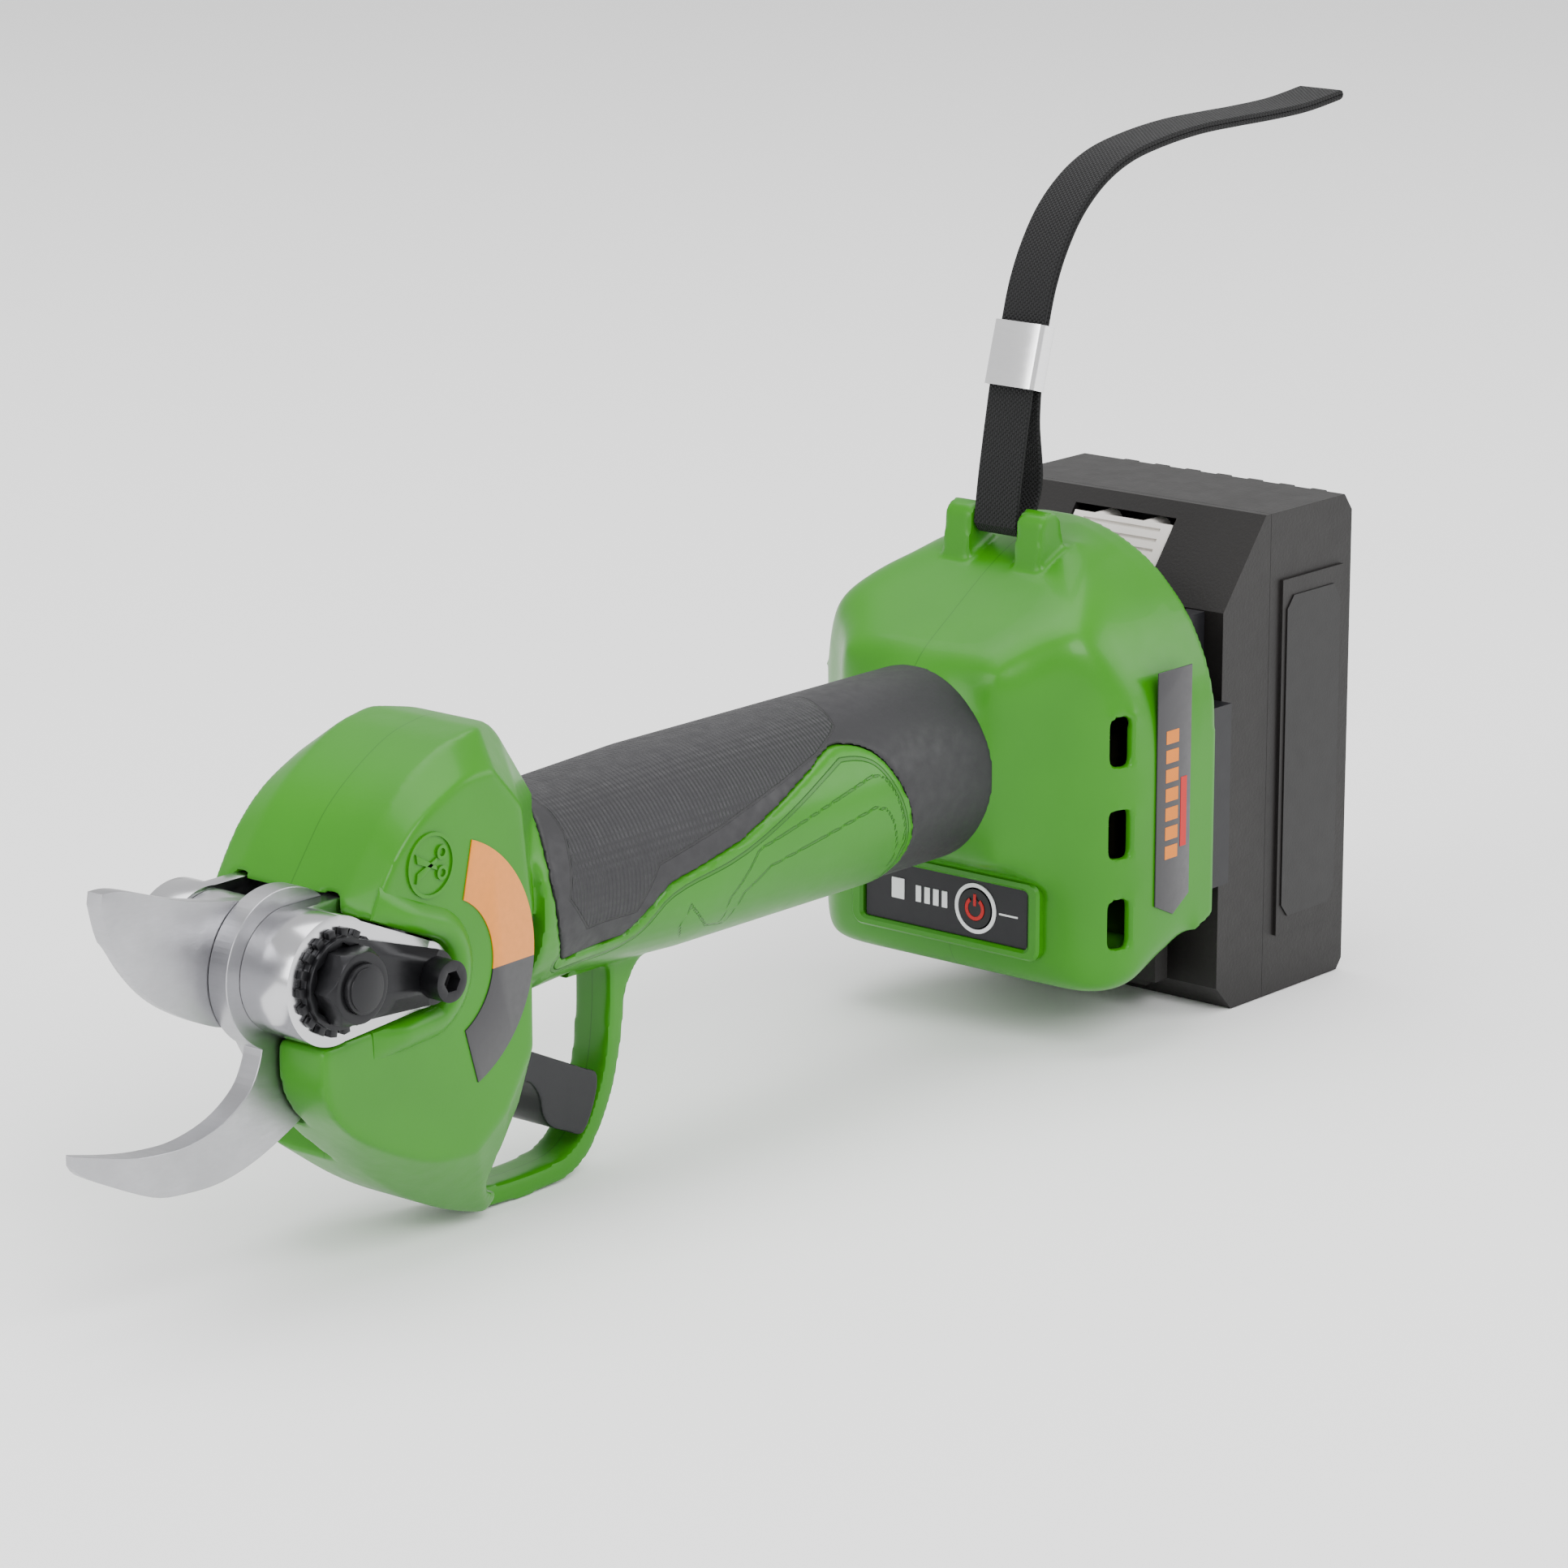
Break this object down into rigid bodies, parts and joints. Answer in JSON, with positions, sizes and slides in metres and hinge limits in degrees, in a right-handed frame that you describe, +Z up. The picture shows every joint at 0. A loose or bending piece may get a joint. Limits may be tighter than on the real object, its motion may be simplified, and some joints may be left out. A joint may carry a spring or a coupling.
{
  "type": "battery electric pruner",
  "caption": "Cordless bypass pruner: green moulded body, rubber handle, hook and curved blade, guarded trigger, slide-on battery pack and webbing wrist strap.",
  "frame": {"origin": "centre of the tool's outer box, on the floor it stands on", "axes": "blades point to -X, battery pack at +X, +Z up, the two moulded halves meet on the Y = 0 plane"},
  "size_m": [0.4132, 0.0886, 0.2003],
  "materials": {
    "green": "satin moulded",
    "rubber": "satin, fine knurl",
    "black_plastic": "satin",
    "pack_plastic": "fine texture",
    "latch_grey": "satin",
    "steel_blade": "ground and brushed",
    "steel": "turned",
    "aluminium": "polished",
    "black_steel": "black oxide",
    "bronze": "sintered",
    "copper": "wound wire",
    "board": "solder mask",
    "contact": "plated",
    "label": "printed film",
    "label_dark": "printed film",
    "print_white": "printed",
    "webbing": "woven",
    "chrome": "bright",
    "cell": "shrink wrap",
    "leads": "insulated wire"
  },
  "bodies": {
    "tool": {"left_shell": "green", "right_shell": "green", "grip_left": "rubber", "grip_right": "rubber", "shell_screws": "black_steel", "gear_case": "aluminium", "fixed_blade": "steel_blade", "fixed_blade_screws": "black_steel", "pivot_bolt": "black_steel", "pivot_bush": "bronze", "pivot_nut": "black_steel", "serrated_washer": "black_steel", "lock_plate": "black_steel", "lock_screw": "black_steel", "pinion_bearing": "steel", "ring_gear": "steel", "stator": "copper", "motor_can": "black_steel", "motor_bearings": "steel", "motor_leads": "leads", "control_board": "board", "power_parts": "black_plastic", "led_panel": "label_dark", "panel_lights": "print_white", "battery_shoe": "black_plastic", "tool_terminals": "contact", "head_label": "label", "housing_labels": "label_dark", "trigger_pin": "steel", "trigger_spring": "steel", "sensor_board": "board", "strap_bar": "steel", "wrist_strap": "webbing", "strap_clip": "chrome"},
    "blade": {"moving_blade": "steel_blade", "sector_gear": "steel", "sector_screws": "black_steel"},
    "output_carrier": {"bevel_pinion": "steel"},
    "first_carrier": {"stage1_carrier": "steel"},
    "second_planet_a": {"stage2_planet_a": "steel"},
    "second_planet_b": {"stage2_planet_b": "steel"},
    "second_planet_c": {"stage2_planet_c": "steel"},
    "first_planet_a": {"stage1_planet_a": "steel"},
    "first_planet_b": {"stage1_planet_b": "steel"},
    "first_planet_c": {"stage1_planet_c": "steel"},
    "rotor": {"rotor_shaft": "steel", "rotor_core": "steel"},
    "trigger": {"trigger": "black_plastic", "trigger_magnet": "steel"},
    "button": {"power_button": "black_plastic"},
    "battery": {"pack_upper_case": "pack_plastic", "pack_lower_case": "pack_plastic", "pack_cells": "cell", "cell_holder": "black_plastic", "pack_board": "board", "pack_terminals": "contact", "pack_labels": "label_dark", "pack_screws": "black_steel", "latch_springs": "steel"},
    "latch": {"pack_latch": "latch_grey"}
  },
  "joints": [
    {"name": "rotor_spin", "type": "hinge", "parent": "tool", "child": "rotor", "pos_m": [-0.0268, 0, 0.066], "axis": [1, 0, 0], "range_deg": [0, 5000]},
    {"name": "blade_swing", "type": "hinge", "parent": "tool", "child": "blade", "pos_m": [-0.1338, 0, 0.066], "axis": [0, -1, 0], "range_deg": [-0.5, 50.5]},
    {"name": "first_carrier_spin", "type": "hinge", "parent": "tool", "child": "first_carrier", "pos_m": [-0.0618, 0, 0.066], "axis": [1, 0, 0], "range_deg": [-10, 1010]},
    {"name": "output_spin", "type": "hinge", "parent": "tool", "child": "output_carrier", "pos_m": [-0.0868, 0, 0.066], "axis": [1, 0, 0], "range_deg": [-2, 202]},
    {"name": "first_planet_a_spin", "type": "hinge", "parent": "first_carrier", "child": "first_planet_a", "pos_m": [-0.0548, 0.009, 0.066], "axis": [1, 0, 0], "range_deg": [-2686.7, 20]},
    {"name": "first_planet_b_spin", "type": "hinge", "parent": "first_carrier", "child": "first_planet_b", "pos_m": [-0.0548, -0.0045, 0.07379], "axis": [1, 0, 0], "range_deg": [-2686.7, 20]},
    {"name": "first_planet_c_spin", "type": "hinge", "parent": "first_carrier", "child": "first_planet_c", "pos_m": [-0.0548, -0.0045, 0.05821], "axis": [1, 0, 0], "range_deg": [-2686.7, 20]},
    {"name": "second_planet_a_spin", "type": "hinge", "parent": "output_carrier", "child": "second_planet_a", "pos_m": [-0.0718, 0.009, 0.066], "axis": [1, 0, 0], "range_deg": [-553.3, 20]},
    {"name": "second_planet_b_spin", "type": "hinge", "parent": "output_carrier", "child": "second_planet_b", "pos_m": [-0.0718, -0.0045, 0.07379], "axis": [1, 0, 0], "range_deg": [-553.3, 20]},
    {"name": "second_planet_c_spin", "type": "hinge", "parent": "output_carrier", "child": "second_planet_c", "pos_m": [-0.0718, -0.0045, 0.05821], "axis": [1, 0, 0], "range_deg": [-553.3, 20]},
    {"name": "trigger_pull", "type": "hinge", "parent": "tool", "child": "trigger", "pos_m": [-0.0758, 0, 0.037], "axis": [0, -1, 0], "range_deg": [0, 11], "stiffness_Nm_per_rad": 0.35, "springref_deg": -28.65},
    {"name": "button_press", "type": "slide", "parent": "tool", "child": "button", "axis": [1, 0, 0], "range_m": [0, 0.0008], "stiffness_N_per_m": 900, "springref_m": -0.0006},
    {"name": "battery_slide", "type": "slide", "parent": "tool", "child": "battery", "axis": [0, 0, 1], "range_m": [0, 0.062]},
    {"name": "latch_press", "type": "slide", "parent": "battery", "child": "latch", "axis": [1, 0, 0], "range_m": [0, 0.005], "stiffness_N_per_m": 900, "springref_m": -0.003}
  ],
  "couplings": [
    {"joint": "first_carrier_spin", "follows": "rotor_spin", "ratio": 0.2},
    {"joint": "output_spin", "follows": "rotor_spin", "ratio": 0.04},
    {"joint": "blade_swing", "follows": "rotor_spin", "ratio": 0.01},
    {"joint": "first_planet_a_spin", "follows": "rotor_spin", "ratio": -0.53333},
    {"joint": "second_planet_a_spin", "follows": "rotor_spin", "ratio": -0.10667},
    {"joint": "first_planet_b_spin", "follows": "rotor_spin", "ratio": -0.53333},
    {"joint": "second_planet_b_spin", "follows": "rotor_spin", "ratio": -0.10667},
    {"joint": "first_planet_c_spin", "follows": "rotor_spin", "ratio": -0.53333},
    {"joint": "second_planet_c_spin", "follows": "rotor_spin", "ratio": -0.10667}
  ]
}
